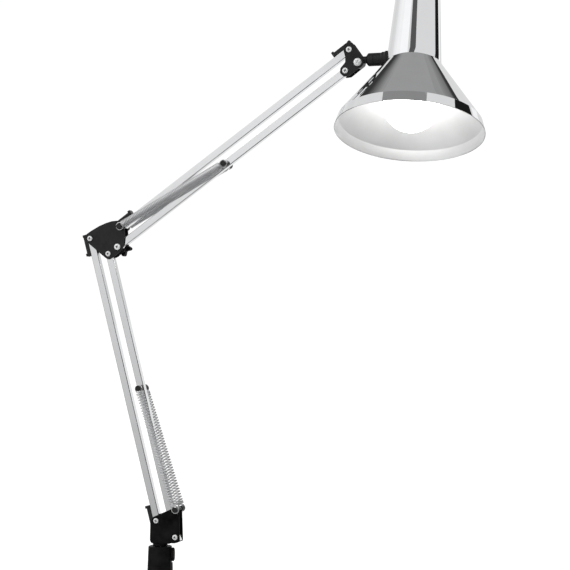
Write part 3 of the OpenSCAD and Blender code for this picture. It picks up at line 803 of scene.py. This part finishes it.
# ---------------------------------------------------------------- CAD pieces with rounded edges
for name in ("base_bracket", "elbow_plate_front", "elbow_plate_back", "head_plate_front", "head_plate_back"):
    refine(name, 0.22, 2, 40)
for name in ("clamp_body",):
    refine(name, 0.7, 3, 40)
# painted shade: a darker grey plated material for the pivot screws' cross slots, standing in for the shade that falls
# in them
M["slot_painted_shade"] = plated("slot_painted_shade", (0.20, 0.20, 0.205), 0.35, 0.5, metallic=0.7).material
for name in ("base_pivot_screws", "elbow_pivot_screws", "elbow_bolt", "head_pivot_screws"):
    ob = refine(name, 0.12, 2, 40, material=["pivot_steel", "slot_painted_shade"])
    centres = {"base_pivot_screws": (P1, P2), "elbow_pivot_screws": (A, B), "elbow_bolt": (C,), "head_pivot_screws": (H1, H2)}[name]
    for poly in ob.data.polygons:  # painted shade: the cross slots get a dark grey material that stands in for the shade inside them
        c = poly.center / MM
        near = min(math.hypot(c.x - q[0], c.z - q[1]) for q in centres)
        poly.material_index = 1 if near < 1.75 and -7.3 < c.y < -6.3 else 0
for name in ("clamp_knob", "clamp_foot", "neck_collar", "neck_sleeve", "elbow_knob", "clamp_spindle", "base_post"):
    refine(name, 0.3, 2, 40)
for name in ("knuckle", "lower_cord_guides", "upper_cord_guides", "switch_knob", "thumb_knob"):
    refine(name, 0.2, 2, 40)
for name in ("base_peg_caps", "lower_anchor_caps", "upper_anchor_caps", "elbow_pin_caps", "head_bolt_nut", "base_nuts", "elbow_nuts", "head_nuts", "cord_grommet"):
    refine(name, 0.15, 2, 40)

# ---------------------------------------------------------------- floor and studio
floor_z = cad_box[0][2] - 0.0305  # below the clamp spindle's lowest travel


def plate(name, corners, material):
    me = mesh_of(name, corners, [tuple(range(len(corners)))], smooth=False)
    ob = bpy.data.objects.new(name, me)
    ob.data.materials.append(material)
    bpy.context.scene.collection.objects.link(ob)
    return ob


f = Finish("floor_white", (0.93, 0.93, 0.93), 0.0, 0.7, Specular_IOR_Level=0.2, Emission_Strength=0.14)
f.bsdf.inputs["Emission Color"].default_value = (1, 1, 1, 1)
f.color(f.ramp(f.noise(3, 2), [(0.3, (0.925, 0.925, 0.925)), (0.7, (0.935, 0.935, 0.935))]))
plate("floor", [(-20, -20, floor_z), (20, -20, floor_z), (20, 20, floor_z), (-20, 20, floor_z)], f.material).visible_glossy = False

world = bpy.context.scene.world or bpy.data.worlds.new("world")
bpy.context.scene.world = world
world.use_nodes = True
background = world.node_tree.nodes.get("Background") or world.node_tree.nodes.new("ShaderNodeBackground")
background.inputs["Color"].default_value = (1, 1, 1, 1)
background.inputs["Strength"].default_value = 1.03
bpy.context.scene.view_settings.view_transform = "Standard"
bpy.context.scene.view_settings.look = "None"
bpy.context.scene.view_settings.exposure = 0
bpy.context.scene.view_settings.gamma = 1


def glow(name, value):
    m = bpy.data.materials.new(name)
    m.use_nodes = True
    t = m.node_tree
    t.nodes.clear()
    o, e = t.nodes.new("ShaderNodeOutputMaterial"), t.nodes.new("ShaderNodeEmission")
    e.inputs["Color"].default_value = (1, 1, 1, 1)
    e.inputs["Strength"].default_value = value
    t.links.new(e.outputs[0], o.inputs[0])
    return m


def only_reflected(ob):
    ob.visible_camera = ob.visible_diffuse = ob.visible_shadow = ob.visible_transmission = ob.visible_volume_scatter = False
    return ob


HUB = Vector((0.289, 0, 0.57))


def toward(a, e, r=1.0):
    a, e = rad(a), rad(e)
    return Vector((math.sin(a) * math.cos(e), -math.cos(a) * math.cos(e), math.sin(e))) * r


def card(name, a0, a1, e0, e1, value, r, top=None):
    """A curved studio card round the shade, from azimuth a0 to a1 and elevation e0 to e1 (to top at a1), that shows only in reflections."""
    n = max(2, int(abs(a1 - a0) / 4))
    verts, faces = [], []
    for i in range(n + 1):
        a = a0 + (a1 - a0) * i / n
        verts += [HUB + toward(a, e0, r), HUB + toward(a, e1 + ((e1 if top is None else top) - e1) * i / n, r)]
        if i:
            faces.append((2 * i - 2, 2 * i, 2 * i + 1, 2 * i - 1))
    me = mesh_of(name, verts, faces)
    me.materials.append(glow(name, value))
    ob = bpy.data.objects.new(name, me)
    bpy.context.scene.collection.objects.link(ob)
    return only_reflected(ob)


def tent():
    verts, faces = lathe([(0, -1)] + [(math.cos(rad(t)), math.sin(rad(t))) for t in range(-85, 90, 5)] + [(0, 1)], 48)
    me = mesh_of("tent", [HUB + Vector(v) * 9 for v in verts], faces)
    me.materials.append(glow("tent", 0.78))
    ob = bpy.data.objects.new("tent", me)
    bpy.context.scene.collection.objects.link(ob)
    return only_reflected(ob)


def slanted(name, low, high, half, value, r):
    """A card between two elevations whose middle runs from one azimuth to another."""
    (e0, m0), (e1, m1) = low, high
    corners = [HUB + toward(m, e, r) for m, e in ((m0 - half, e0), (m0 + half, e0), (m1 + half, e1), (m1 - half, e1))]
    return only_reflected(plate(name, corners, glow(name, value)))


def overhead(name, x0, x1, y0, y1, value):
    corners = [HUB + Vector(c) for c in ((x0, y0, ROOF), (x1, y0, ROOF), (x1, y1, ROOF), (x0, y1, ROOF))]
    return only_reflected(plate(name, corners, glow(name, value)))


ROOF = 2.6
tent()
left = ((-128, 0.75), (-115, 0.79), (-103, 0.90), (-95, 0.97), (-85, 1.02), (-65, 1.08), (-24, 0))
for (a0, value), (a1, _) in zip(left, left[1:]):  # the left softbox fades towards the back and its top edge slopes
    card(f"softbox_left_{-a0}", a0, a1, 14, 34 + (a0 + 128) * 0.244, value, 6.0, top=34 + (a1 + 128) * 0.244)
slanted("card_front", (46, 14), (58, -40), 15.8, 0.10, 5.6)
slanted("flag_right", (-14, 148.5), (42, 120.5), 10.5, 0.012, 5.6)
card("softbox_back_low", 150, 192, -25, 8.5, 0.95, 6.0)
card("softbox_back", 158, 191, 8.5, 31, 0.76, 6.0)
card("softbox_back_right", 145, 158, 8.5, 31, 1.0, 6.0)
card("flag_back", 192, 196.5, 4, 22, 0.10, 5.9)
card("card_low_right", 5, 148, -30, 9, 0.05, 6.4)
card("card_low_right_top", 20, 110, 9, 18, 0.05, 6.4)
card("card_low_far", 5, 165, -72, -30, 0.06, 6.4)
card("card_low_left", -175, -50, -75, -38, 0.08, 6.4)
card("card_left_low", -165, -75, -38, -4, 0.10, 6.4)
card("card_under", -55, 25, -86, -54, 0.04, 6.3)
for k in range(14):  # the front gets darker towards the floor
    card(f"card_low_front_{k}", -60, 4, (-40 if k == 0 else -12 + 1.7 * (k - 1)), -12 + 1.7 * k, min(0.93, 0.50 + 0.04 * k), 6.2)
overhead("roof_front", -1.3, 1.15, -1.22, -0.55, 0.275)
overhead("roof", -1.3, 1.15, -0.55, 0.6, 0.35)
# the back of the roof is round, and its light falls off towards its edge
y0 = 0.6
a0 = math.asin(y0 / 1.69)
arc = [HUB + Vector((1.69 * math.cos(t), 1.69 * math.sin(t), ROOF)) for t in (a0 + (math.pi - 2 * a0) * k / 24 for k in range(25))]
only_reflected(plate("roof_back", arc, glow("roof_back", 0.35)))
for side, a0, a1, steps in (
        ("right", 146, 180, ((36.2, 40.5, 0.04), (40.5, 42, 0.09), (42, 44, 0.19), (44, 46, 0.215), (46, 48, 0.24), (48, 50, 0.27), (50, 57.5, 0.315))),
        ("left", 180, 224, ((34.0, 42.0, 0.04), (42, 44, 0.06), (44, 46, 0.09), (46, 48, 0.13), (48, 50, 0.17), (50, 52, 0.22), (52, 54, 0.27), (54, 57.5, 0.32)))):
    for k, (e0, e1, value) in enumerate(steps):
        card(f"roof_fall_{side}_{k}", a0, a1, e0, e1, value, 6.0)


def area(name, a, e, r, size, power, target=Vector((0.1, 0, 0.3))):
    data = bpy.data.lights.new(name, "AREA")
    data.shape, data.size, data.size_y = "RECTANGLE", size[0], size[1]
    data.energy = power
    ob = bpy.data.objects.new(name, data)
    ob.location = target + toward(a, e, r)
    ob.rotation_mode = "QUATERNION"
    ob.rotation_quaternion = toward(a, e).to_track_quat("Z", "Y")
    bpy.context.scene.collection.objects.link(ob)
    ob.visible_camera = ob.visible_glossy = False
    return ob


area("key", -50, 42, 3.0, (1.6, 1.2), 26)
area("fill", 70, 30, 3.0, (1.6, 1.6), 14)
